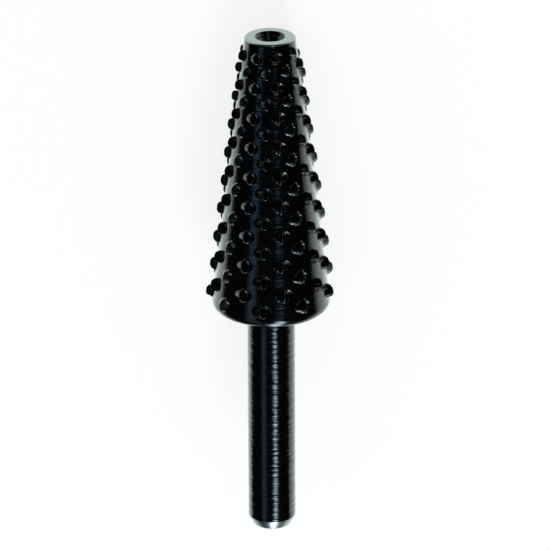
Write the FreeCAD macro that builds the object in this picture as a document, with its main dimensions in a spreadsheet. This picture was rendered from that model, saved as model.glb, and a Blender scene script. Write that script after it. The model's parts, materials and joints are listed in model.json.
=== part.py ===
"""Rotary rasp: one steel bar turned to a cone and a shank, with teeth punched up in a helix round the cone.

The blank is drawn with its axis on Z and its shoulder, where the head meets the shank, at zero. The head
runs up from there to the tip, and the shank runs down to its free end. Directions round the axis are
counted from X, and the teeth cut in the direction in which that count grows. At the end the finished
rasp is laid down on its teeth, as it would come to rest on a bench.
"""
import FreeCAD, Part

import math
import os

import Sketcher
from FreeCAD import Placement, Rotation, Vector

NODE = "rotary_rasp"
TOUCH = 1e-4

SIZES = [
    ("head_length", 38.1),
    ("head_base_diameter", 15.875),
    ("tip_diameter", 6.6),
    ("base_edge_radius", 0.8),
    ("tip_edge_chamfer", 0.2),
    ("shank_diameter", 6.35),
    ("shank_length", 31.75),
    ("shank_end_chamfer_width", 0.7),
    ("shank_end_chamfer_length", 1.3),
    ("centre_mouth_diameter", 3.95),
    ("centre_cone_depth", 2.1),
    ("centre_pilot_diameter", 1.6),
    ("centre_pilot_depth", 4.6),
    ("centre_point_length", 0.5),
    ("teeth_per_turn", 8.5),
    ("helix_feed", 1.984375),
    ("first_tooth_from_tip", 1.52),
    ("first_tooth_turned", 63.53),
    ("last_tooth_from_base", 1.9),
    ("tooth_height", 0.95),
    ("tooth_half_width", 0.95),
    ("tooth_flats", 4),
    ("ramp_length", 2.2),
    ("ramp_dip", 12),
    ("ramp_end_half_width", 0.3),
    ("pit_half_width", 0.65),
    ("pit_flats", 2),
    ("pit_length", 1.4),
    ("pit_end_half_width", 0.3),
    ("flat_overrun", 0.3),
]


def fill_sheet(doc):
    """Writes each driving size once, in mm, degrees or a count, under its own name."""
    sheet = doc.addObject("Spreadsheet::Sheet", "sizes")
    for row, (name, value) in enumerate(SIZES, start=1):
        sheet.set("A%d" % row, name)
        sheet.set("B%d" % row, str(value))
        sheet.setAlias("B%d" % row, name)
    doc.recompute()
    return sheet


def origin_plane(body, role):
    """Returns the body's own origin plane with this role."""
    for feature in body.Origin.OriginFeatures:
        if feature.Role == role:
            return feature
    raise RuntimeError("no origin plane " + role)


def pin_down(sketch, kind, number, distance):
    """Holds a line's start at a distance from the origin that follows the sheet."""
    value = sketch.evalExpression(distance)
    if value < 0:
        tie = Sketcher.Constraint(kind, number, 1, -1, 1, -value)
        distance = "-(%s)" % distance
    else:
        tie = Sketcher.Constraint(kind, -1, 1, number, 1, value)
    place = sketch.addConstraint(tie)
    sketch.setExpression("Constraints[%d]" % place, distance)


def half_section(body, name, corners):
    """Draws a closed half section beside the axis. A corner with no distance lies on that axis."""
    sketch = body.newObject("Sketcher::SketchObject", name)
    sketch.AttachmentSupport = (origin_plane(body, "XZ_Plane"), "")
    sketch.MapMode = "FlatFace"
    points = []
    for across, along in corners:
        right = sketch.evalExpression(across) if across else 0
        up = sketch.evalExpression(along) if along else 0
        points.append(Vector(right, up, 0))
    for number, start in enumerate(points):
        end = points[(number + 1) % len(points)]
        sketch.addGeometry(Part.LineSegment(start, end), False)
    for number, (across, along) in enumerate(corners):
        sketch.addConstraint(Sketcher.Constraint("Coincident", number - 1 if number else len(corners) - 1,
                                                 2, number, 1))
        if across:
            pin_down(sketch, "DistanceX", number, across)
        else:
            sketch.addConstraint(Sketcher.Constraint("PointOnObject", number, 1, -2))
        if along:
            pin_down(sketch, "DistanceY", number, along)
        else:
            sketch.addConstraint(Sketcher.Constraint("PointOnObject", number, 1, -1))
    return sketch


def turn(body, kind, name, sketch):
    """Turns a half section once round the axis, as new metal or as a cut."""
    feature = body.newObject(kind, name)
    feature.Profile = sketch
    feature.ReferenceAxis = (sketch, ["V_Axis"])
    feature.Angle = 360
    body.Document.recompute()
    return feature


def rim(shape, radius, height):
    """Names the one circular edge of this radius that lies at this height."""
    for number, edge in enumerate(shape.Edges, start=1):
        curve = edge.Curve
        if not isinstance(curve, Part.Circle):
            continue
        same_radius = math.isclose(curve.Radius, radius, abs_tol=TOUCH)
        if same_radius and math.isclose(curve.Center.z, height, abs_tol=TOUCH):
            return "Edge%d" % number
    raise RuntimeError("no rim of radius %g at height %g" % (radius, height))


def ease_edge(body, kind, name, base, edge, size_name, size):
    """Rounds or chamfers one edge of the feature before it, by a size from the sheet."""
    feature = body.newObject(kind, name)
    feature.Base = (base, [edge])
    feature.setExpression(size_name, size)
    body.Document.recompute()
    return feature


def make_blank(doc, sheet):
    """The turned bar: cone, shank with its chamfered end, broken edges and the lathe centre in the tip."""
    body = doc.addObject("PartDesign::Body", "blank")
    bar = half_section(body, "bar_section", [
        (None, "-sizes.shank_length"),
        ("sizes.shank_diameter / 2 - sizes.shank_end_chamfer_width", "-sizes.shank_length"),
        ("sizes.shank_diameter / 2", "-sizes.shank_length + sizes.shank_end_chamfer_length"),
        ("sizes.shank_diameter / 2", None),
        ("sizes.head_base_diameter / 2", None),
        ("sizes.tip_diameter / 2", "sizes.head_length"),
        (None, "sizes.head_length"),
    ])
    bar = turn(body, "PartDesign::Revolution", "turned_bar", bar)
    edge = rim(bar.Shape, sheet.head_base_diameter / 2, 0)
    base_edge = ease_edge(body, "PartDesign::Fillet", "base_edge", bar, edge,
                          "Radius", "sizes.base_edge_radius")
    edge = rim(base_edge.Shape, sheet.tip_diameter / 2, sheet.head_length)
    ease_edge(body, "PartDesign::Chamfer", "tip_edge", base_edge, edge,
              "Size", "sizes.tip_edge_chamfer")
    whole = body.Shape.Volume
    hole = half_section(body, "centre_section", [
        (None, "sizes.head_length"),
        ("sizes.centre_mouth_diameter / 2", "sizes.head_length"),
        ("sizes.centre_pilot_diameter / 2", "sizes.head_length - sizes.centre_cone_depth"),
        ("sizes.centre_pilot_diameter / 2", "sizes.head_length - sizes.centre_pilot_depth"),
        (None, "sizes.head_length - sizes.centre_pilot_depth - sizes.centre_point_length"),
    ])
    turn(body, "PartDesign::Groove", "lathe_centre", hole)
    if body.Shape.Volume >= whole:
        raise RuntimeError("the lathe centre cuts nothing")
    return body


def half_round(half_width, flats, overrun, side):
    """Half a round in flats, above the middle line for side 1 or below it for side -1.

    The two outer flats run on past the middle line, so that they meet the head's skin without a step.
    """
    corners = []
    for number in range(flats + 1):
        angle = math.pi * number / flats
        corners.append(Vector(half_width * math.cos(angle), side * half_width * math.sin(angle), 0))
    right = (corners[0] - corners[1]).normalize() * overrun
    left = (corners[-1] - corners[-2]).normalize() * overrun
    return [corners[0] + right] + corners[1:-1] + [corners[-1] + left]


def tapered(outline, share, length):
    """A flat-sided form that runs from an outline up to a smaller copy of it."""
    small = [Vector(corner.x * share, corner.y * share, length) for corner in outline]
    faces = [Part.Face(Part.makePolygon(ring + [ring[0]])) for ring in (outline, small)]
    for number in range(len(outline)):
        after = (number + 1) % len(outline)
        side = [outline[number], outline[after], small[after], small[number], outline[number]]
        faces.append(Part.Face(Part.makePolygon(side)))
    form = Part.Solid(Part.makeShell(faces))
    if form.Volume < 0:
        form.reverse()
    return form


def cone_slope(sheet):
    """The angle between the head's side and its axis."""
    return math.atan2((sheet.head_base_diameter - sheet.tip_diameter) / 2, sheet.head_length)


def tooth_places(sheet):
    """Yields each tooth's distance from the tip and its direction round the axis, along one helix."""
    step = sheet.helix_feed / sheet.teeth_per_turn
    room = sheet.head_length - sheet.first_tooth_from_tip - sheet.last_tooth_from_base
    for number in range(int(room / step) + 1):
        yield (sheet.first_tooth_from_tip + number * step,
               sheet.first_tooth_turned - number * 360 / sheet.teeth_per_turn)


def stand_at_teeth(shape, sheet, facing_back):
    """Copies a form to every tooth, with its wide end on the tooth's face.

    A tooth's crest stands tooth_height off the cone. Its face is a round-topped disc below that crest,
    square to the ramp, which dips back along the chord of the cone and a little more.
    """
    slope = cone_slope(sheet)
    outward = Vector(math.cos(slope), 0, math.sin(slope))
    forward = Vector(0, 1, 0)
    copies = []
    for from_tip, turned in tooth_places(sheet):
        radius = sheet.tip_diameter / 2 + from_tip * math.tan(slope)
        dip = math.radians(sheet.ramp_dip) + math.asin(sheet.ramp_length / (2 * radius))
        rise = outward * math.cos(dip) - forward * math.sin(dip)
        back = -outward * math.sin(dip) - forward * math.cos(dip)
        crest = Vector(radius, 0, sheet.head_length - from_tip) + outward * sheet.tooth_height
        along = back if facing_back else -back
        turn_to_face = Rotation(rise.cross(along), rise, along, "ZYX")
        place = Placement(crest - rise * sheet.tooth_half_width, turn_to_face)
        place = Placement(Vector(), Rotation(Vector(0, 0, 1), turned)).multiply(place)
        copy = shape.copy()
        copy.Placement = place
        copies.append(copy)
    return Part.makeCompound(copies)


def lay_down(rasp, sheet):
    """Lays the rasp on the crests of two neighbouring rows of teeth, tip forward and up to +Y."""
    rows = 2 * sheet.teeth_per_turn
    tilt = math.atan(math.tan(cone_slope(sheet)) * math.cos(math.pi / rows))
    to_tip = Vector(0, math.cos(tilt), -math.sin(tilt))
    top = Vector(0, math.sin(tilt), math.cos(tilt))
    rasp.Placement = Placement(Vector(), Rotation(top, Vector(1, 0, 0), to_tip, "ZXY"))
    box = rasp.Shape.optimalBoundingBox(False)
    rasp.Placement = Placement(Vector(-box.Center.x, -box.Center.y, -box.ZMin), rasp.Placement.Rotation)


def main():
    """Builds the rasp, checks every object and writes the finished piece."""
    doc = FreeCAD.newDocument("rotary_rasp")
    sheet = fill_sheet(doc)
    blank = make_blank(doc, sheet)

    pit = tapered(half_round(sheet.pit_half_width, int(sheet.pit_flats), sheet.flat_overrun, -1),
                  sheet.pit_end_half_width / sheet.pit_half_width, sheet.pit_length)
    pits = doc.addObject("Part::Feature", "pits")
    pits.Shape = stand_at_teeth(pit, sheet, False)
    tooth = tapered(half_round(sheet.tooth_half_width, int(sheet.tooth_flats), sheet.flat_overrun, 1),
                    sheet.ramp_end_half_width / sheet.tooth_half_width, sheet.ramp_length)
    teeth = doc.addObject("Part::Feature", "teeth")
    teeth.Shape = stand_at_teeth(tooth, sheet, True)

    rasp = doc.addObject("Part::Feature", NODE)
    rasp.Label = NODE
    rasp.Shape = blank.Shape.cut(pits.Shape).fuse(teeth.Shape).removeSplitter().Solids[0]
    lay_down(rasp, sheet)
    doc.recompute()

    for thing in doc.Objects:
        if "Invalid" in thing.State or "Error" in thing.State:
            raise RuntimeError("%s failed: %s" % (thing.Name, thing.State))
    if rasp.Shape.isNull() or not rasp.Shape.isValid():
        raise RuntimeError("the rasp's shape isn't valid")
    if rasp.Shape.Volume < blank.Shape.Volume:
        raise RuntimeError("the teeth aren't part of the rasp")
    os.makedirs("parts", exist_ok=True)
    rasp.Shape.exportStep("parts/%s.step" % rasp.Label)
    box = rasp.Shape.BoundBox
    print("%s %.2f x %.2f x %.2f mm, %.0f mm3" % (NODE, box.XLength, box.YLength, box.ZLength,
                                                 rasp.Shape.Volume))


main()
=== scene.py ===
"""Looks of a rotary rasp: a punched conical head on a plain shank, blackened and oiled.

The rasp is one piece of steel, so it is one mesh here too. Its head carries rasp teeth in a
spiral: each tooth is a round cutting face with a ramp behind it and the punch's pit ahead of it.
Lengths of the tool are in millimetres and turn to metres where the mesh is placed in the frame.
"""

import json
import logging
import math
from dataclasses import dataclass, field
from enum import Enum
from typing import Any

import bpy
import numpy as np
from mathutils import Matrix, Vector


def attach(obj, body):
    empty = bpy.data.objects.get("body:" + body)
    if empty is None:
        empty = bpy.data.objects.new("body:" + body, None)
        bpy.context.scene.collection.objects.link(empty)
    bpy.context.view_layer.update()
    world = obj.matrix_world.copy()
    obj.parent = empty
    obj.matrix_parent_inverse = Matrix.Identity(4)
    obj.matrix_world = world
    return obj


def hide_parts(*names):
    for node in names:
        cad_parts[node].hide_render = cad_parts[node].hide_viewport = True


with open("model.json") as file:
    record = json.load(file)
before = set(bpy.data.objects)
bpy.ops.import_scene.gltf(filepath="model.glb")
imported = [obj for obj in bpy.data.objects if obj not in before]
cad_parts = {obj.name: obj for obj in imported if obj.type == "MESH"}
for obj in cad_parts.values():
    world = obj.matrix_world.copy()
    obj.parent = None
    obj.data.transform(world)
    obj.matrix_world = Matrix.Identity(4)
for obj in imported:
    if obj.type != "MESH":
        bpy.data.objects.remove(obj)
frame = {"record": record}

log = logging.getLogger("rotary_rasp")

MM = 0.001
IMAGE_SIDE = 550
NODE = "rotary_rasp"
BODY = "root"
SHANK_MOUNT = "shank"
LATHE_MAP = "lathe"
UPSET = "upset"
SEED = 20

# In millimetres: a distance far beyond the tool, and one too short to matter.
FAR_OUT = 1e3
NO_LENGTH = 1e-6
ROUNDING_ERROR = 1e-9

# The Mix node's sockets by number, since several of them share a name.
MIX_SHARE = 0
MIX_NUMBERS = (2, 3)
MIX_COLOURS = (6, 7)
MIXED_NUMBER = 0
MIXED_COLOUR = 2


def linear(hex_colour: str) -> tuple[float, float, float, float]:
    """Turns an sRGB hex colour to the linear colour that a shader takes.

    Args:
        hex_colour: Colour written as "#rrggbb".

    Returns:
        Linear red, green and blue, with an alpha of 1.
    """
    parts = [int(hex_colour[i : i + 2], 16) / 255 for i in (1, 3, 5)]
    curve = [c / 12.92 if c <= 0.04045 else ((c + 0.055) / 1.055) ** 2.4 for c in parts]
    return curve[0], curve[1], curve[2], 1.0


def add_node(
    tree: bpy.types.NodeTree,
    kind: str,
    settings: dict[str | int, Any],
    links: dict[str | int, Any],
) -> bpy.types.Node:
    """Adds a node with its settings and the links that feed it.

    Args:
        tree: Node tree that takes the node.
        kind: Blender's type name of the node.
        settings: Values by the number or name of an input, or else by a property's name.
        links: Output sockets by the name or number of the input that each feeds.

    Returns:
        The new node.
    """
    node = tree.nodes.new(kind)
    for name, value in settings.items():
        if isinstance(name, int) or name in node.inputs:
            node.inputs[name].default_value = value
        else:
            setattr(node, name, value)
    for name, source in links.items():
        tree.links.new(source, node.inputs[name])
    return node


def blank_material(name: str) -> bpy.types.Material:
    """Makes a material with an empty node tree.

    Args:
        name: The material's name.

    Returns:
        The new material.
    """
    material = bpy.data.materials.new(name)
    material.use_nodes = True
    material.node_tree.nodes.clear()
    return material


def mirror_rays(tree: bpy.types.NodeTree, rays: bpy.types.Node) -> bpy.types.NodeSocket:
    """Tells the rays that come off metal or through glass from the rest.

    Args:
        tree: Node tree to add to.
        rays: Its Light Path node.

    Returns:
        A socket that is 1 for those rays and 0 for the others.
    """
    kinds = {0: rays.outputs["Is Glossy Ray"], 1: rays.outputs["Is Transmission Ray"]}
    return add_node(tree, "ShaderNodeMath", {"operation": "MAXIMUM"}, kinds).outputs["Value"]


def softer_max(a: np.ndarray, b: np.ndarray, blend: float) -> np.ndarray:
    """The larger of two surfaces, with the corner between them rounded.

    Args:
        a: One surface's heights.
        b: The other surface's heights.
        blend: Height over which the corner is rounded.

    Returns:
        The rounded upper surface.
    """
    near = np.clip(1 - np.abs(a - b) / blend, 0, 1)
    return np.maximum(a, b) + near**2 * blend / 4


def softer_min(a: np.ndarray, b: np.ndarray, blend: float) -> np.ndarray:
    """The smaller of two surfaces, with the corner between them rounded, as softer_max does."""
    return -softer_max(-a, -b, blend)


class Zone(Enum):
    """The ways in which the rasp's surface was made, each with its own finish."""

    BLACKENED = 0
    FACED = 1
    PUNCHED = 2


@dataclass(frozen=True)
class TurnedSteel:
    """Steel from the lathe, whose feed marks run round the tool. Its lengths are in millimetres.

    The marks break its reflections into fine rings, and each mark into a few lengths a turn.
    """

    name: str
    colour: str
    roughness: float
    feed_mark_spacing: float
    feed_mark_depth: float
    mark_lengths_per_turn: float
    mark_detail: float
    mark_roughness: float

    def feed_marks(self, tree: bpy.types.NodeTree) -> bpy.types.Node:
        """Adds the lathe's feed marks.

        Args:
            tree: Node tree of the material.

        Returns:
            The node that bumps the surface.
        """
        place = add_node(tree, "ShaderNodeUVMap", {"uv_map": LATHE_MAP}, {})
        stretched = add_node(
            tree,
            "ShaderNodeMapping",
            {"Scale": (self.mark_lengths_per_turn, 1 / self.feed_mark_spacing, 1.0)},
            {"Vector": place.outputs["UV"]},
        )
        marks = add_node(
            tree,
            "ShaderNodeTexNoise",
            {"Scale": 1.0, "Detail": self.mark_detail, "Roughness": self.mark_roughness},
            {"Vector": stretched.outputs["Vector"]},
        )
        return add_node(
            tree,
            "ShaderNodeBump",
            {"Strength": 1.0, "Distance": self.feed_mark_depth * MM},
            {"Height": marks.outputs["Fac"]},
        )


@dataclass(frozen=True)
class BlackOxideOnTurnedSteel(TurnedSteel):
    """Tool steel, turned, then hot blackened and oiled.

    The oxide is a thin glossy black skin: it takes crisp streaks from the lamps where it faces the
    eye and turns pale along its outline, where it mirrors the white floor. Where the punch has
    upset the steel, less oil stays on it and it looks duller. Real feed marks of about 0.15 mm are
    as fine as the image's pixels, so the marks and the skin's grain are drawn coarser, to show.
    """

    name: str = "black_oxide_on_turned_steel"
    colour: str = "#1c1e22"
    roughness: float = 0.2
    feed_mark_spacing: float = 0.5
    feed_mark_depth: float = 0.16
    mark_lengths_per_turn: float = 3.0
    mark_detail: float = 3.0
    mark_roughness: float = 0.6
    grain_size: float = 0.3
    grain_depth: float = 0.002
    grain_detail: float = 2.0
    oil_ior: float = 1.5
    oil: float = 1.0
    oil_roughness: float = 0.12
    punched_oil: float = 0.3
    punched_roughness: float = 0.3
    upset_start: float = 0.05
    upset_full: float = 0.4

    def material(self) -> bpy.types.Material:
        """Builds the material.

        Returns:
            The new material.
        """
        material = blank_material(self.name)
        tree = material.node_tree
        marks = self.feed_marks(tree)
        solid = add_node(tree, "ShaderNodeTexCoord", {}, {})
        grain = add_node(
            tree,
            "ShaderNodeTexNoise",
            {"Scale": 1 / (self.grain_size * MM), "Detail": self.grain_detail},
            {"Vector": solid.outputs["Object"]},
        )
        skin = add_node(
            tree,
            "ShaderNodeBump",
            {"Strength": 1.0, "Distance": self.grain_depth * MM},
            {"Height": grain.outputs["Fac"], "Normal": marks.outputs["Normal"]},
        )
        upset = add_node(tree, "ShaderNodeAttribute", {"attribute_name": UPSET}, {})
        limits = {"From Min": self.upset_start, "From Max": self.upset_full}
        dulled = add_node(
            tree,
            "ShaderNodeMapRange",
            {**limits, "To Min": self.oil_roughness, "To Max": self.punched_roughness},
            {"Value": upset.outputs["Fac"]},
        )
        oil = add_node(
            tree,
            "ShaderNodeMapRange",
            {**limits, "To Min": self.oil, "To Max": self.punched_oil},
            {"Value": upset.outputs["Fac"]},
        )
        shader = add_node(
            tree,
            "ShaderNodeBsdfPrincipled",
            {
                "Base Color": linear(self.colour),
                "Metallic": 1.0,
                "Roughness": self.roughness,
                "Coat IOR": self.oil_ior,
            },
            {
                "Normal": skin.outputs["Normal"],
                "Coat Normal": skin.outputs["Normal"],
                "Coat Roughness": dulled.outputs["Result"],
                "Coat Weight": oil.outputs["Result"],
            },
        )
        add_node(tree, "ShaderNodeOutputMaterial", {}, {"Surface": shader.outputs["BSDF"]})
        return material


@dataclass(frozen=True)
class BlackOxideOnPunchedSteel(BlackOxideOnTurnedSteel):
    """The same skin on the toothed cone, which was turned by a finer cut and then punched.

    Its feed marks are fainter, and the worked steel is grainier, which breaks up the streaks.
    """

    name: str = "black_oxide_on_punched_steel"
    feed_mark_spacing: float = 0.32
    feed_mark_depth: float = 0.05
    grain_depth: float = 0.016


@dataclass(frozen=True)
class FacedSteel(TurnedSteel):
    """Tool steel, faced on the lathe to bright metal after blackening.

    It shows as a pale ring with a soft sheen at the tip and on the shank's end chamfer.
    """

    name: str = "faced_steel"
    colour: str = "#a3aaa6"
    roughness: float = 0.3
    feed_mark_spacing: float = 0.12
    feed_mark_depth: float = 0.006
    mark_lengths_per_turn: float = 2.0
    mark_detail: float = 2.0
    mark_roughness: float = 0.5

    def material(self) -> bpy.types.Material:
        """Builds the material.

        Returns:
            The new material.
        """
        material = blank_material(self.name)
        tree = material.node_tree
        marks = self.feed_marks(tree)
        shader = add_node(
            tree,
            "ShaderNodeBsdfPrincipled",
            {"Base Color": linear(self.colour), "Metallic": 1.0, "Roughness": self.roughness},
            {"Normal": marks.outputs["Normal"]},
        )
        add_node(tree, "ShaderNodeOutputMaterial", {}, {"Surface": shader.outputs["BSDF"]})
        return material


@dataclass(frozen=True)
class MattWhiteCard:
    """Matt white card on the floor. Its lengths are in metres.

    To the eye it is lit just to white, and the part of it that stays paper keeps the rasp's soft
    shadow. In reflections it is a bright card about the rasp with dark beyond, which gives the
    rims of the tool their pale bands and leaves the rest of the steel black.
    """

    name: str = "matt_white_card"
    colour: str = "#f2f2f2"
    seen_tint: str = "#ffffff"
    mirrored_tint: str = "#eefcf5"
    seen_share: float = 0.8
    seen_strength: float = 1.0
    mirrored_strength: float = 1.15
    turn: float = 23.0
    middle: float = -0.0155
    half_width: float = 0.0515
    reach: float = 0.085
    fade: float = 0.016

    def mirrored_shape(self, tree: bpy.types.NodeTree) -> bpy.types.Node:
        """Adds the card's brightness in reflections, which fades out at its edges.

        Args:
            tree: Node tree of the material.

        Returns:
            The node whose result is the brightness.
        """
        place = add_node(tree, "ShaderNodeTexCoord", {}, {})
        turned = add_node(
            tree,
            "ShaderNodeMapping",
            {
                "Rotation": (0.0, 0.0, -math.radians(self.turn)),
                "Location": (-self.middle, 0.0, 0.0),
            },
            {"Vector": place.outputs["Object"]},
        )
        split = add_node(tree, "ShaderNodeSeparateXYZ", {}, {"Vector": turned.outputs["Vector"]})
        aside = add_node(
            tree, "ShaderNodeMath", {"operation": "ABSOLUTE"}, {0: split.outputs["X"]}
        )
        below = add_node(
            tree,
            "ShaderNodeMath",
            {"operation": "MULTIPLY_ADD", 1: -1.0, 2: self.half_width - self.reach},
            {0: split.outputs["Y"]},
        )
        outside = add_node(
            tree,
            "ShaderNodeMath",
            {"operation": "MAXIMUM"},
            {0: aside.outputs["Value"], 1: below.outputs["Value"]},
        )
        return add_node(
            tree,
            "ShaderNodeMapRange",
            {
                "From Min": self.half_width - self.fade,
                "From Max": self.half_width + self.fade,
                "To Min": self.mirrored_strength,
                "To Max": 0.0,
            },
            {"Value": outside.outputs["Value"]},
        )

    def material(self) -> bpy.types.Material:
        """Builds the material.

        Returns:
            The new material.
        """
        material = blank_material(self.name)
        tree = material.node_tree
        paper = add_node(tree, "ShaderNodeBsdfDiffuse", {"Color": linear(self.colour)}, {})
        rays = add_node(tree, "ShaderNodeLightPath", {}, {})
        seen = add_node(
            tree,
            "ShaderNodeMath",
            {"operation": "MULTIPLY", 1: self.seen_share},
            {0: rays.outputs["Is Camera Ray"]},
        )
        lit = add_node(
            tree,
            "ShaderNodeMath",
            {"operation": "MAXIMUM"},
            {0: seen.outputs["Value"], 1: mirror_rays(tree, rays)},
        )
        strength = add_node(
            tree,
            "ShaderNodeMix",
            {MIX_NUMBERS[1]: self.seen_strength},
            {
                MIX_SHARE: rays.outputs["Is Camera Ray"],
                MIX_NUMBERS[0]: self.mirrored_shape(tree).outputs["Result"],
            },
        )
        tint = add_node(
            tree,
            "ShaderNodeMix",
            {
                "data_type": "RGBA",
                MIX_COLOURS[0]: linear(self.mirrored_tint),
                MIX_COLOURS[1]: linear(self.seen_tint),
            },
            {MIX_SHARE: rays.outputs["Is Camera Ray"]},
        )
        glow = add_node(
            tree,
            "ShaderNodeEmission",
            {},
            {"Color": tint.outputs[MIXED_COLOUR], "Strength": strength.outputs[MIXED_NUMBER]},
        )
        card = add_node(
            tree,
            "ShaderNodeMixShader",
            {},
            {0: lit.outputs["Value"], 1: paper.outputs["BSDF"], 2: glow.outputs["Emission"]},
        )
        add_node(tree, "ShaderNodeOutputMaterial", {}, {"Surface": card.outputs["Shader"]})
        return material


@dataclass(frozen=True)
class WhiteRoom:
    """The room about the floor: white to the eye, softly lit, and dark overhead in reflections."""

    name: str = "white_room"
    colour: str = "#ffffff"
    light: float = 0.75
    mirrored_strength: float = 0.02
    seen_strength: float = 1.0

    def world(self) -> bpy.types.World:
        """Builds the world.

        Returns:
            The new world.
        """
        world = bpy.data.worlds.new(self.name)
        world.use_nodes = True
        tree = world.node_tree
        tree.nodes.clear()
        rays = add_node(tree, "ShaderNodeLightPath", {}, {})
        colour = linear(self.colour)
        light, mirrored, white = (
            add_node(tree, "ShaderNodeBackground", {"Color": colour, "Strength": strength}, {})
            for strength in (self.light, self.mirrored_strength, self.seen_strength)
        )
        unseen = add_node(
            tree,
            "ShaderNodeMixShader",
            {},
            {
                0: mirror_rays(tree, rays),
                1: light.outputs["Background"],
                2: mirrored.outputs["Background"],
            },
        )
        room = add_node(
            tree,
            "ShaderNodeMixShader",
            {},
            {
                0: rays.outputs["Is Camera Ray"],
                1: unseen.outputs["Shader"],
                2: white.outputs["Background"],
            },
        )
        add_node(tree, "ShaderNodeOutputWorld", {}, {"Surface": room.outputs["Shader"]})
        return world


@dataclass(frozen=True)
class Corner:
    """A corner of the turned outline: its radius and height on the tool, and its rounding."""

    radius: float
    height: float
    rounding: float = 0.0
    zone: Zone = Zone.BLACKENED


@dataclass
class Tooth:
    """One punched tooth: a round face that leans back, a ramp behind it and the pit ahead of it.

    The ramp is a narrowing round whose back bows down to the head behind the crest. The pit is
    part of a tapered round that dips as the punch did. The plane of the face parts them.
    """

    height: float = 0.95
    half_width: float = 0.95
    ramp_slope: float = 33.0
    ramp_reach: float = 1.6
    ramp_bow_radius: float = 9.0
    ramp_half_width: float = 0.66
    ramp_narrowing: float = 0.12
    lip_thickness: float = 0.16
    ramp_flatness: float = 2.3
    face_lean: float = 20.5
    pit_dip: float = 20.0
    pit_length: float = 1.4
    pit_half_width: float = 0.65
    pit_end_half_width: float = 0.3
    crest_round: float = 0.08
    pit_round: float = 0.1
    face_foot_round: float = 0.25
    ramp_foot_round: float = 0.12
    least_half_width: float = 0.05
    least_slant: float = 0.001

    def punch_mark(
        self, turn: np.ndarray, side: np.ndarray, radius: np.ndarray, grow: np.ndarray
    ) -> np.ndarray:
        """Where a ray from the tool's axis first meets the tapered round that the punch pressed.

        Args:
            turn: Angle of the ray ahead of the crest, in radians.
            side: Distance to the side of the tooth's middle.
            radius: Radius of the bare head there.
            grow: The tooth's own size against the usual one.

        Returns:
            Distances from the axis, NaN where the ray misses the round.
        """
        taper = -(self.pit_half_width - self.pit_end_half_width) / self.pit_length
        dip = math.radians(self.pit_dip)
        crest = radius + self.height * grow
        along_rise = np.cos(turn + dip)
        along_back = -np.sin(turn + dip)
        centre_rise = crest * math.cos(dip) - self.half_width * grow
        centre_back = -crest * math.sin(dip)
        width = self.pit_half_width * grow + taper * centre_back
        a = along_rise**2 - (taper * along_back) ** 2
        b = -2 * along_rise * centre_rise + 2 * taper * along_back * width
        c = centre_rise**2 - width**2 + side**2
        inside = b * b - 4 * a * c
        root = np.sqrt(np.where(inside >= 0, inside, np.nan))
        distance = (-b - root) / (2 * a)
        left = width - taper * distance * along_back
        return np.where(left > 0, distance, np.nan)

    def face(self, turn: np.ndarray, radius: np.ndarray, grow: np.ndarray) -> np.ndarray:
        """Where a ray from the tool's axis meets the plane of the cutting face.

        Args:
            turn: Angle of the ray ahead of the crest, in radians.
            radius: Radius of the bare head there.
            grow: The tooth's own size against the usual one.

        Returns:
            Distances from the axis, far out where the ray never meets the plane.
        """
        lean = math.radians(self.face_lean)
        slant = np.sin(turn + lean)
        crest = radius + self.height * grow
        met = crest * math.sin(lean) / np.maximum(slant, self.least_slant)
        return np.where(slant > self.least_slant, met, FAR_OUT)

    def pit(
        self, turn: np.ndarray, side: np.ndarray, radius: np.ndarray, grow: np.ndarray
    ) -> np.ndarray:
        """Surface of the bare head with this tooth's pit sunk in it.

        Args:
            turn: Angle of each point ahead of the crest, in radians.
            side: Distance to the side of the tooth's middle.
            radius: Radius of the bare head there.
            grow: The tooth's own size against the usual one.

        Returns:
            Distances from the axis.
        """
        floor = np.nan_to_num(self.punch_mark(turn, side, radius, grow), nan=FAR_OUT)
        floor = softer_max(floor, self.face(turn, radius, grow), self.face_foot_round)
        return softer_min(radius, floor, self.pit_round)

    def rise(
        self, turn: np.ndarray, side: np.ndarray, radius: np.ndarray, grow: np.ndarray
    ) -> np.ndarray:
        """Surface of this tooth's ramp and face.

        The ramp's sides narrow from a thin wide lip at the crest, and its back is a flattened
        round over that width.

        Args:
            turn: Angle of each point ahead of the crest, in radians.
            side: Distance to the side of the tooth's middle.
            radius: Radius of the bare head there.
            grow: The tooth's own size against the usual one.

        Returns:
            Distances from the axis, 0 beside the tooth.
        """
        crest = radius + self.height * grow
        slope = np.tan(math.radians(self.ramp_slope) + np.arcsin(self.ramp_reach / (2 * radius)))
        line = crest / (np.cos(turn) - slope * np.sin(turn))
        behind = -line * np.sin(turn)
        top = line - np.maximum(behind, 0) ** 2 / (2 * self.ramp_bow_radius)
        lip = (self.half_width - self.ramp_half_width) * np.exp(-behind / self.lip_thickness)
        width = (self.ramp_half_width + np.minimum(lip, self.half_width)) * grow
        width = width - self.ramp_narrowing * behind
        width = np.clip(width, self.least_half_width, self.half_width * grow)
        across = 1 - (np.abs(side) / width) ** self.ramp_flatness
        round_off = width * np.where(across > 0, across, np.nan) ** (1 / self.ramp_flatness)
        top = np.nan_to_num(top - width + round_off, nan=0.0)
        return softer_min(top, self.face(turn, radius, grow), self.crest_round)


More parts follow.
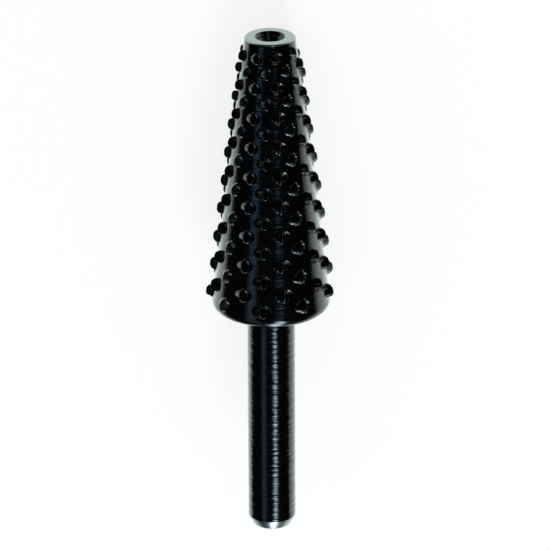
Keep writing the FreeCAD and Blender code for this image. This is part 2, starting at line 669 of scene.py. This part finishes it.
@dataclass
class MeshDraft:
    """Points, faces, zones and lathe coordinates gathered before Blender's mesh is made."""

    points: list[tuple[float, float, float]] = field(default_factory=list)
    along: list[float] = field(default_factory=list)
    turns: list[float] = field(default_factory=list)
    upset: list[float] = field(default_factory=list)
    faces: list[tuple[int, ...]] = field(default_factory=list)
    zones: list[int] = field(default_factory=list)

    def add_point(
        self, radius: float, turn: float, height: float, along: float, upset: float = 0.0
    ) -> int:
        """Adds a point.

        Args:
            radius: Distance from the tool's axis.
            turn: Angle round the axis, in radians.
            height: Place along the axis, growing to the tip.
            along: Distance along the outline, for the lathe's marks.
            upset: How far the punch moved the surface here, from 0 to 1 at a tooth's crest.

        Returns:
            The point's number.
        """
        self.points.append((radius * math.cos(turn), radius * math.sin(turn), height))
        self.along.append(along)
        self.turns.append(turn / (2 * math.pi))
        self.upset.append(upset)
        return len(self.points) - 1

    def add_face(self, corners: tuple[int, ...], zone: Zone) -> None:
        """Adds a face, without the corners that repeat.

        Args:
            corners: Numbers of its points, in order.
            zone: How its surface was made.
        """
        kept = [c for i, c in enumerate(corners) if c != corners[i - 1]]
        if len(set(kept)) > 2:
            self.faces.append(tuple(kept))
            self.zones.append(zone.value)


@dataclass
class Rasp:
    """The whole tool, turned about its own axis with the shoulder at height 0 and the tip up."""

    head_length: float = 38.1
    head_base_radius: float = 7.9375
    tip_radius: float = 3.3
    base_edge_radius: float = 1.1
    tip_edge_chamfer: float = 0.2
    shank_radius: float = 3.175
    shank_length: float = 31.75
    shank_end_chamfer_width: float = 0.7
    shank_end_chamfer_length: float = 1.3
    centre_mouth_radius: float = 1.975
    centre_cone_depth: float = 2.1
    centre_pilot_radius: float = 0.8
    centre_pilot_depth: float = 4.6
    centre_point_length: float = 0.5
    edge_break: float = 0.06
    teeth_per_turn: float = 8.5
    helix_feed: float = 1.984375
    first_tooth_from_tip: float = 1.52
    first_tooth_turned: float = 63.53
    tooth_count: int = 149
    tooth: Tooth = field(default_factory=Tooth)
    tip_tooth_share: float = 0.78
    tooth_size_spread: float = 0.03
    tooth_turn_spread: float = 0.012
    columns_per_tooth: int = 34
    rows_per_turn: int = 14
    column_crowding: float = 0.55
    crowding_fall: int = 4
    least_row_share: float = 0.3
    straight_step: float = 2.5
    large_rounding: float = 0.24
    large_arc_steps: int = 8
    small_arc_steps: int = 3

    def __post_init__(self) -> None:
        """Works out what follows from the sizes."""
        self.slope = math.atan((self.head_base_radius - self.tip_radius) / self.head_length)
        self.columns = round(self.columns_per_tooth * self.teeth_per_turn)
        corner_angle = math.pi / 2 - self.slope
        reach = self.base_edge_radius / math.tan(corner_angle / 2)
        self.cone_start = self.tip_edge_chamfer
        self.cone_end = self.head_length - reach * math.cos(self.slope)
        self.draft = MeshDraft()

    def cone_radius(self, from_tip: np.ndarray) -> np.ndarray:
        """Radius of the bare head at a distance from the tip."""
        return self.tip_radius + from_tip * math.tan(self.slope)

    def column_turn(self, column: np.ndarray) -> np.ndarray:
        """Angle of a column of points round the axis, in radians."""
        return math.radians(self.first_tooth_turned) - column * 2 * math.pi / self.columns

    def tip_outline(self) -> list[Corner]:
        """Corners from the bottom of the lathe centre to the start of the teeth.

        Returns:
            The corners in order.
        """
        tip = self.head_length
        pilot_end = tip - self.centre_pilot_depth
        inner = Zone.BLACKENED
        return [
            Corner(0.0, pilot_end - self.centre_point_length, zone=inner),
            Corner(self.centre_pilot_radius, pilot_end, self.edge_break, inner),
            Corner(self.centre_pilot_radius, tip - self.centre_cone_depth, self.edge_break, inner),
            Corner(self.centre_mouth_radius, tip, self.edge_break, inner),
            Corner(self.cone_radius(0) - self.tip_edge_chamfer, tip, self.edge_break, Zone.FACED),
            Corner(self.cone_radius(self.cone_start), tip - self.cone_start, zone=Zone.FACED),
        ]

    def shank_outline(self) -> list[Corner]:
        """Corners from the end of the teeth to the middle of the shank's end face.

        Returns:
            The corners in order.
        """
        end = -self.shank_length
        chamfer_start = end + self.shank_end_chamfer_length
        end_radius = self.shank_radius - self.shank_end_chamfer_width
        return [
            Corner(self.cone_radius(self.cone_end), self.head_length - self.cone_end),
            Corner(self.head_base_radius, 0.0, self.base_edge_radius),
            Corner(self.shank_radius, 0.0, self.edge_break),
            Corner(self.shank_radius, chamfer_start, self.edge_break),
            Corner(end_radius, end, self.edge_break, Zone.FACED),
            Corner(0.0, end),
        ]

    def trace(self, corners: list[Corner]) -> list[tuple[float, float, Zone]]:
        """Follows an outline, with an arc at each rounded corner and points along its straights.

        Args:
            corners: The outline's corners in order.

        Returns:
            Radius, height and zone of each point, the zone being that of the stretch before it.
        """
        traced = [(corners[0].radius, corners[0].height, corners[0].zone)]
        for before, here, after in zip(corners, corners[1:], corners[2:] + [corners[-1]]):
            spot = np.array([here.radius, here.height])
            back = np.array([before.radius, before.height]) - spot
            onward = np.array([after.radius, after.height]) - spot
            if here is after or here.rounding == 0:
                traced += self.straight(traced[-1], spot, here.zone)
                continue
            back /= np.linalg.norm(back)
            onward /= np.linalg.norm(onward)
            half = math.acos(float(np.clip(back @ onward, -1, 1))) / 2
            reach = here.rounding / math.tan(half)
            middle = (back + onward) / np.linalg.norm(back + onward)
            centre = spot + middle * here.rounding / math.sin(half)
            traced += self.straight(traced[-1], spot + back * reach, here.zone)
            start = spot + back * reach - centre
            stop = spot + onward * reach - centre
            large = here.rounding > self.large_rounding
            steps = self.large_arc_steps if large else self.small_arc_steps
            for step in range(1, steps + 1):
                part = start * (1 - step / steps) + stop * (step / steps)
                part *= here.rounding / np.linalg.norm(part)
                traced.append((*(centre + part), here.zone))
        return traced

    def straight(
        self, start: tuple[float, float, Zone], stop: np.ndarray, zone: Zone
    ) -> list[tuple[float, float, Zone]]:
        """Points along a straight stretch, without its start.

        Args:
            start: The point that the stretch leaves.
            stop: Radius and height where it ends.
            zone: How the stretch was made.

        Returns:
            Radius, height and zone of each point.
        """
        origin = np.array(start[:2])
        length = float(np.linalg.norm(stop - origin))
        if length < NO_LENGTH:
            return []
        steps = max(1, math.ceil(length / self.straight_step))
        return [(*(origin + (stop - origin) * k / steps), zone) for k in range(1, steps + 1)]

    def add_ring(self, radius: float, height: float, along: float) -> list[int]:
        """Adds a ring of points, one for each column.

        Args:
            radius: The ring's radius.
            height: Its height on the tool.
            along: Distance along the outline.

        Returns:
            The points' numbers.
        """
        turns = self.column_turn(np.arange(self.columns))
        return [self.draft.add_point(radius, turn, height, along) for turn in turns]

    def join_rings(self, upper: list[int], lower: list[int], zone: Zone) -> None:
        """Joins two rings by faces that look away from the steel.

        Args:
            upper: Numbers of the ring that comes first along the outline.
            lower: Numbers of the next ring, or of one point.
            zone: How the stretch between them was made.
        """
        for i in range(self.columns):
            j = (i + 1) % self.columns
            a = upper[i % len(upper)]
            b = upper[j % len(upper)]
            c = lower[j % len(lower)]
            d = lower[i % len(lower)]
            self.draft.add_face((a, b, c, d), zone)

    def sweep(self, traced: list[tuple[float, float, Zone]], along: float) -> list[list[int]]:
        """Turns a traced outline round the axis.

        Args:
            traced: Radius, height and zone of each point.
            along: Distance along the whole outline at its first point.

        Returns:
            The rings, of one point each where they lie on the axis.
        """
        rings: list[list[int]] = []
        last = np.array(traced[0][:2])
        for radius, height, zone in traced:
            along += float(np.linalg.norm(np.array([radius, height]) - last))
            last = np.array([radius, height])
            if radius < NO_LENGTH:
                ring = [self.draft.add_point(0.0, 0.0, height, along)]
            else:
                ring = self.add_ring(radius, height, along)
            if rings:
                self.join_rings(rings[-1], ring, zone)
            rings.append(ring)
        return rings

    def toothed_surface(
        self,
        place: np.ndarray,
        across: np.ndarray,
        from_tip: np.ndarray,
        grow: np.ndarray,
        nudge: np.ndarray,
    ) -> np.ndarray:
        """Height of the punched surface over the bare cone.

        Args:
            place: Place along the spiral, counted in teeth from the first one.
            across: Distance to the side of the spiral's line.
            from_tip: Distance of each point from the tip, along the axis.
            grow: Size of each tooth against the usual one.
            nudge: Turn of each tooth from its even place, in radians.

        Returns:
            Heights along the cone's normal.
        """
        radius = self.cone_radius(from_tip)
        cell = 2 * math.pi / self.teeth_per_turn
        left = np.floor(place + ROUNDING_ERROR).astype(int)
        surface = radius
        for number in (left, left + 1):
            real = (number >= 0) & (number < self.tooth_count)
            index = np.clip(number, 0, self.tooth_count - 1)
            turn = (number - place) * cell - nudge[index]
            sunk = self.tooth.pit(turn, across, radius, grow[index])
            surface = np.where(real & (turn > 0), np.minimum(surface, sunk), surface)
        for number in (left - 1, left, left + 1):
            real = (number >= 0) & (number < self.tooth_count)
            index = np.clip(number, 0, self.tooth_count - 1)
            turn = (number - place) * cell - nudge[index]
            raised = self.tooth.rise(turn, across, radius, grow[index])
            raised = np.where(real, raised, 0.0)
            surface = softer_max(surface, raised, self.tooth.ramp_foot_round)
        return surface - radius

    def punch_head(self, start_ring: list[int], end_ring: list[int], along: float) -> None:
        """Builds the toothed part of the head as one spiral of points between two rings.

        The columns are those of the rings. The rows climb by one feed of the spiral in each turn,
        so every tooth gets the same points. Rows crowd at the teeth's sides, and columns at their
        faces.

        Args:
            start_ring: Numbers of the ring at the tip's side.
            end_ring: Numbers of the ring at the shoulder's side.
            along: Distance along the outline at the first ring.
        """
        rng = np.random.default_rng(SEED)
        grow = np.linspace(self.tip_tooth_share, 1, self.tooth_count)
        grow *= 1 + self.tooth_size_spread * rng.uniform(-1, 1, self.tooth_count)
        nudge = self.tooth_turn_spread * rng.uniform(-1, 1, self.tooth_count)
        rows = self.rows_per_turn
        turns_before = 2
        bands = math.ceil(self.cone_end / self.helix_feed) + 2 * turns_before
        number = np.arange(-turns_before * rows, bands * rows)
        row, column = np.meshgrid(number, np.arange(self.columns), indexing="ij")
        band, part = np.divmod(row, rows)
        angle = math.pi * (part / rows - 0.5)
        across = np.sin(angle) * self.helix_feed / 2
        even_place = (band + column / self.columns) * self.teeth_per_turn
        envelope = 1 - np.abs(np.sin(angle)) ** self.crowding_fall
        crowd = self.column_crowding * envelope * np.sin(2 * math.pi * even_place)
        place = even_place - crowd / (2 * math.pi)
        from_tip = (
            self.first_tooth_from_tip
            + place * self.helix_feed / self.teeth_per_turn
            + across * math.cos(self.slope)
        )
        least = self.least_row_share * self.helix_feed / rows
        at_start = from_tip < self.cone_start + least
        at_end = from_tip > self.cone_end - least
        from_tip = np.clip(from_tip, self.cone_start, self.cone_end)
        beside = across / math.cos(self.slope)
        raised = self.toothed_surface(place, beside, from_tip, grow, nudge)
        turn = self.column_turn(place / self.teeth_per_turn * self.columns)
        radial = self.cone_radius(from_tip) + raised * math.cos(self.slope)
        height = self.head_length - from_tip + raised * math.sin(self.slope)
        distance = along + (from_tip - self.cone_start) / math.cos(self.slope)
        upset = np.clip(np.abs(raised) / self.tooth.height, 0, 1)

        index = np.empty(row.shape, int)
        for r in range(row.shape[0]):
            for c in range(self.columns):
                if at_start[r, c]:
                    index[r, c] = start_ring[c]
                elif at_end[r, c]:
                    index[r, c] = end_ring[c]
                else:
                    index[r, c] = self.draft.add_point(
                        radial[r, c], turn[r, c], height[r, c], distance[r, c], upset[r, c]
                    )
        for r in range(row.shape[0] - 1 - rows):
            for c in range(self.columns):
                wraps = c == self.columns - 1
                n = 0 if wraps else c + 1
                s = r + rows if wraps else r
                corners = (index[r, c], index[s, n], index[s + 1, n], index[r + 1, c])
                self.draft.add_face(tuple(int(k) for k in corners), Zone.PUNCHED)

    def placement(self) -> Matrix:
        """Where the tool lies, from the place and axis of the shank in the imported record.

        Returns:
            The matrix from the tool's own millimetres to the frame's metres.
        """
        mount = next(m for m in frame["record"]["mounts"] if m["name"] == SHANK_MOUNT)
        axis = Vector(mount["axis"]).normalized()
        shoulder = Vector(mount["pos_m"]) - axis * mount["dims"]["length_mm"] * MM / 2
        to_tip = -axis
        top = (Vector((0, 0, 1)) - to_tip * to_tip.z).normalized()
        side = to_tip.cross(top)
        turned = Matrix((top, side, to_tip)).transposed().to_4x4()
        return Matrix.Translation(shoulder) @ turned @ Matrix.Scale(MM, 4)

    def lay_lathe_map(self, mesh: bpy.types.Mesh) -> None:
        """Lays the map that the feed marks follow: turns round the axis, and length along the outline.

        Where the turns start again, whole turns are taken off, so that no face spans the map.

        Args:
            mesh: The rasp's mesh.
        """
        lathe = mesh.uv_layers.new(name=LATHE_MAP)
        corner_points = np.empty(len(mesh.loops), int)
        mesh.loops.foreach_get("vertex_index", corner_points)
        turns = np.array(self.draft.turns)[corner_points]
        starts = np.empty(len(mesh.polygons), int)
        mesh.polygons.foreach_get("loop_start", starts)
        counts = np.diff(np.append(starts, len(corner_points)))
        first = np.repeat(turns[starts], counts)
        turns = turns - np.round(turns - first)
        lengths = np.array(self.draft.along)[corner_points]
        lathe.data.foreach_set("uv", np.column_stack([turns, lengths]).ravel())

    def build(self) -> bpy.types.Object:
        """Builds the rasp's mesh, in its place in the frame.

        Returns:
            The new object.
        """
        tip = self.trace(self.tip_outline())
        shank = self.trace(self.shank_outline())
        tip_rings = self.sweep(tip, 0.0)
        along = self.draft.along[-1]
        cone_run = (self.cone_end - self.cone_start) / math.cos(self.slope)
        shank_rings = self.sweep(shank, along + cone_run)
        self.punch_head(tip_rings[-1], shank_rings[0], along)

        mesh = bpy.data.meshes.new("rasp")
        mesh.from_pydata(self.draft.points, [], self.draft.faces)
        mesh.transform(self.placement())
        self.lay_lathe_map(mesh)
        upset = mesh.attributes.new(name=UPSET, type="FLOAT", domain="POINT")
        upset.data.foreach_set("value", self.draft.upset)
        mesh.polygons.foreach_set("material_index", self.draft.zones)
        mesh.polygons.foreach_set("use_smooth", [True] * len(mesh.polygons))
        mesh.update()
        mesh.validate()
        piece = bpy.data.objects.new("rasp", mesh)
        bpy.context.scene.collection.objects.link(piece)
        return piece

    def dress(self, piece: bpy.types.Object) -> None:
        """Gives the rasp its finishes, hangs it under the body's empty and hides the imported part
        that it stands for.

        Args:
            piece: The rasp's object.
        """
        finishes = {
            Zone.BLACKENED: BlackOxideOnTurnedSteel(),
            Zone.FACED: FacedSteel(),
            Zone.PUNCHED: BlackOxideOnPunchedSteel(),
        }
        for zone in Zone:
            piece.data.materials.append(finishes[zone].material())
        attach(piece, BODY)
        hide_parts(NODE)


@dataclass(frozen=True)
class SoftLamp:
    """A soft rectangular lamp that faces the rasp.

    Its turn and lift, in degrees, are those of Studio.direction. Its size, the width round the tool
    and the length along it, and its distance from the shoulder are in metres. Its strength is the
    brightness of its face, where 1 is white.
    """

    name: str
    turn: float
    lift: float
    size: tuple[float, float]
    distance: float
    strength: float
    colour: str


@dataclass
class Studio:
    """Plain pale floor, soft light and the camera, placed about the rasp's own axis."""

    placement: Matrix
    floor_half_side: float = 1.5
    camera_turn: float = 9.0
    camera_lift: float = 23.6
    camera_lean: float = 0.24
    camera_distance: float = 635.0
    camera_lens: float = 315.0
    camera_clip: tuple[float, float] = (0.05, 20.0)
    sensor_width: float = 36.0
    aim_height: float = 5.0
    aim_at_pixel: tuple[float, float] = (271.0, 271.1)
    lamps: tuple[SoftLamp, ...] = (
        SoftLamp("right_strip", 27.5, -37.0, (0.17, 0.62), 0.9, 1.7, "#c8efff"),
        SoftLamp("low_spot", 30.0, -61.0, (0.18, 0.85), 0.85, 12.0, "#e0f4ff"),
        SoftLamp("tip_glint", 24.0, 35.0, (0.05, 0.2), 0.9, 8.0, "#e0f4ff"),
        SoftLamp("left_strip", -28.4, -36.0, (0.27, 0.62), 0.9, 0.5, "#b8ddff"),
        SoftLamp("left_high", -30.5, -11.5, (0.22, 0.15), 0.9, 1.15, "#a2dcff"),
    )

    def direction(self, turn: float, lift: float) -> Vector:
        """A direction seen from the rasp.

        Args:
            turn: Degrees round the tool from its top towards the frame's +X.
            lift: Degrees above the square to the tool's axis, towards the tip.

        Returns:
            A unit vector of the frame.
        """
        t, e = math.radians(turn), math.radians(lift)
        local = Vector((math.cos(t) * math.cos(e), math.sin(t) * math.cos(e), math.sin(e)))
        return (self.placement.to_3x3() @ local).normalized()

    def facing(self, turn: float, lift: float) -> tuple[Vector, Vector, Vector]:
        """Axes of a thing that faces the rasp, upright along the tool.

        Args:
            turn: Degrees round the tool to the thing, as in direction.
            lift: Degrees towards the tip, as in direction.

        Returns:
            The directions to its right, up and back.
        """
        back = self.direction(turn, lift)
        to_tip = self.direction(0.0, 90.0)
        up = (to_tip - back * back.dot(to_tip)).normalized()
        return up.cross(back), up, back

    def point(self, height: float) -> Vector:
        """The point of the tool's axis at a height over its shoulder."""
        return self.placement @ Vector((0, 0, height))

    def set_camera(self) -> None:
        """Sets the camera at the photograph's angle."""
        data = bpy.data.cameras.new("camera")
        data.sensor_width = self.sensor_width
        data.lens = self.camera_lens
        data.clip_start, data.clip_end = self.camera_clip
        camera = bpy.data.objects.new("camera", data)
        bpy.context.scene.collection.objects.link(camera)
        right, up, back = self.facing(self.camera_turn, self.camera_lift)
        lean = math.radians(self.camera_lean)
        up, right = (
            up * math.cos(lean) + right * math.sin(lean),
            right * math.cos(lean) - up * math.sin(lean),
        )
        pixel = self.camera_distance * MM * self.sensor_width / self.camera_lens / IMAGE_SIDE
        middle = IMAGE_SIDE / 2
        offset = (middle - self.aim_at_pixel[0]) * right - (middle - self.aim_at_pixel[1]) * up
        aim = self.point(self.aim_height) + offset * pixel
        turned = Matrix((right, up, back)).transposed().to_4x4()
        camera.matrix_world = Matrix.Translation(aim + back * self.camera_distance * MM) @ turned
        bpy.context.scene.camera = camera

    def hang(self, lamp: SoftLamp) -> None:
        """Hangs a lamp.

        Args:
            lamp: The lamp's place and light.
        """
        data = bpy.data.lights.new(lamp.name, "AREA")
        data.shape = "RECTANGLE"
        data.size, data.size_y = lamp.size
        data.color = linear(lamp.colour)[:3]
        data.energy = lamp.strength * math.pi * lamp.size[0] * lamp.size[1]
        hung = bpy.data.objects.new(lamp.name, data)
        bpy.context.scene.collection.objects.link(hung)
        right, up, back = self.facing(lamp.turn, lamp.lift)
        turned = Matrix((right, up, back)).transposed().to_4x4()
        hung.matrix_world = Matrix.Translation(self.point(0.0) + back * lamp.distance) @ turned

    def lay_floor(self) -> None:
        """Lays the floor under the rasp."""
        half = self.floor_half_side
        corners = [(-half, -half, 0), (half, -half, 0), (half, half, 0), (-half, half, 0)]
        mesh = bpy.data.meshes.new("floor")
        mesh.from_pydata(corners, [], [(0, 1, 2, 3)])
        mesh.materials.append(MattWhiteCard().material())
        floor = bpy.data.objects.new("floor", mesh)
        bpy.context.scene.collection.objects.link(floor)

    def build(self) -> None:
        """Sets up the floor, the room, the lamps and the camera."""
        self.lay_floor()
        bpy.context.scene.world = WhiteRoom().world()
        for lamp in self.lamps:
            self.hang(lamp)
        self.set_camera()
        bpy.context.scene.view_settings.view_transform = "Standard"


def main() -> None:
    """Builds the rasp and the studio, and reports each piece."""
    logging.basicConfig(level=logging.INFO, format="%(name)s: %(message)s")
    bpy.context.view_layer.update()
    rasp = Rasp()
    piece = rasp.build()
    rasp.dress(piece)
    triangles = sum(len(p.vertices) - 2 for p in piece.data.polygons)
    log.info("%s: %d triangles", piece.name, triangles)
    studio = Studio(rasp.placement())
    studio.build()
    log.info("studio: floor, room, %d lamps and camera", len(studio.lamps))


if __name__ == "__main__":
    main()
